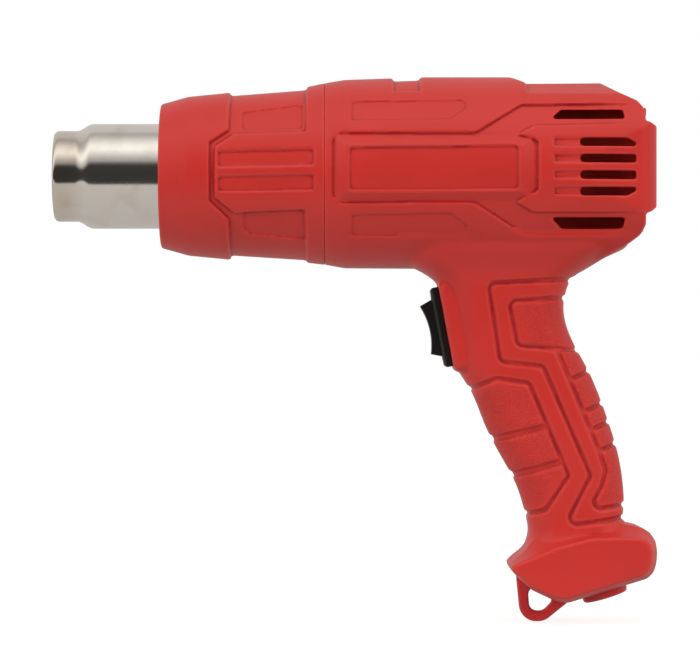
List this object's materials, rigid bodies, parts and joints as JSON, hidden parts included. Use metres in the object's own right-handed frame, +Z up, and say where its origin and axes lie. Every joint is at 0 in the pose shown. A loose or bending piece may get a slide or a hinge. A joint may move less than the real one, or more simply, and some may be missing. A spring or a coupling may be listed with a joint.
{
  "type": "embossing heat tool",
  "caption": "Pistol-grip hot-air tool: round barrel with side air slots, steel nozzle, rocker switch in the grip and a hanging eye in the foot.",
  "frame": {"origin": "centre of the nozzle's spigot, on the nozzle's axis", "axes": "-X out of the nozzle, +Z up, so the grip hangs down and back; the screw heads are on the +Y side"},
  "size_m": [0.2281, 0.0734, 0.2066],
  "materials": {
    "housing": "satin",
    "eye_plastic": "satin",
    "inlet_bush": "matte",
    "nozzle_steel": "satin",
    "guard_steel": "satin",
    "mica": "satin",
    "gasket": "matte",
    "ceramic": "matte",
    "resistance_wire": "satin",
    "tin_plate": "satin",
    "zinc_plate": "satin",
    "bright_steel": "polished",
    "core_steel": "satin",
    "bronze": "satin",
    "copper": "satin",
    "magnet": "matte",
    "duct_plastic": "satin",
    "fan_plastic": "satin",
    "inner_plastic": "satin",
    "circuit_board": "satin",
    "diode_black": "satin",
    "switch_black": "satin",
    "rocker_black": "satin",
    "capacitor_blue": "gloss",
    "lead_heat": "matte",
    "lead_black": "matte",
    "lead_brown": "matte"
  },
  "bodies": {
    "housing": {"housing_left": "housing", "housing_right": "housing", "front_sleeve": "housing", "nozzle": "nozzle_steel", "outlet_guard": "guard_steel", "mica_sleeve": "mica", "seat_ring": "gasket", "heater_board_upright": "mica", "heater_board_level": "mica", "heating_coil": "resistance_wire", "heater_base": "ceramic", "heater_rivet_1": "bronze", "heater_rivet_2": "bronze", "thermostat": "tin_plate", "fan_duct": "duct_plastic", "motor_can": "zinc_plate", "motor_cap": "inner_plastic", "motor_bush_front": "bronze", "motor_bush_rear": "bronze", "motor_magnet_left": "magnet", "motor_magnet_right": "magnet", "circuit_board": "circuit_board", "diode_1": "diode_black", "diode_2": "diode_black", "diode_3": "diode_black", "diode_4": "diode_black", "motor_tab_1": "bronze", "motor_tab_2": "bronze", "switch_housing": "switch_black", "switch_blade_1": "bronze", "switch_blade_2": "bronze", "switch_blade_3": "bronze", "switch_blade_4": "bronze", "capacitor": "capacitor_blue", "terminal_block": "inner_plastic", "heater_lead_1": "lead_heat", "heater_lead_2": "lead_heat", "motor_lead_1": "lead_black", "motor_lead_2": "lead_black", "supply_lead_1": "lead_brown", "supply_lead_2": "lead_brown", "cord_inlet_bush": "inlet_bush", "cord_clamp": "inner_plastic", "clamp_screw_1": "zinc_plate", "clamp_screw_2": "zinc_plate", "hanging_eye": "eye_plastic", "housing_screw_1": "zinc_plate", "housing_screw_2": "zinc_plate", "housing_screw_3": "zinc_plate", "housing_screw_4": "zinc_plate", "housing_screw_5": "zinc_plate", "housing_screw_6": "zinc_plate", "housing_screw_7": "zinc_plate", "housing_screw_8": "zinc_plate"},
    "rotor": {"motor_shaft": "bright_steel", "armature": "core_steel", "commutator": "copper", "fan": "fan_plastic"},
    "rocker": {"rocker": "rocker_black"}
  },
  "joints": [
    {"name": "fan_spin", "type": "hinge", "parent": "housing", "child": "rotor", "pos_m": [0.15, 0, 0], "axis": [1, 0, 0], "continuous": true},
    {"name": "rocker_tilt", "type": "hinge", "parent": "housing", "child": "rocker", "pos_m": [0.14376, 0, -0.05691], "axis": [0, 1, 0], "range_deg": [-10.5, 10.5]}
  ]
}
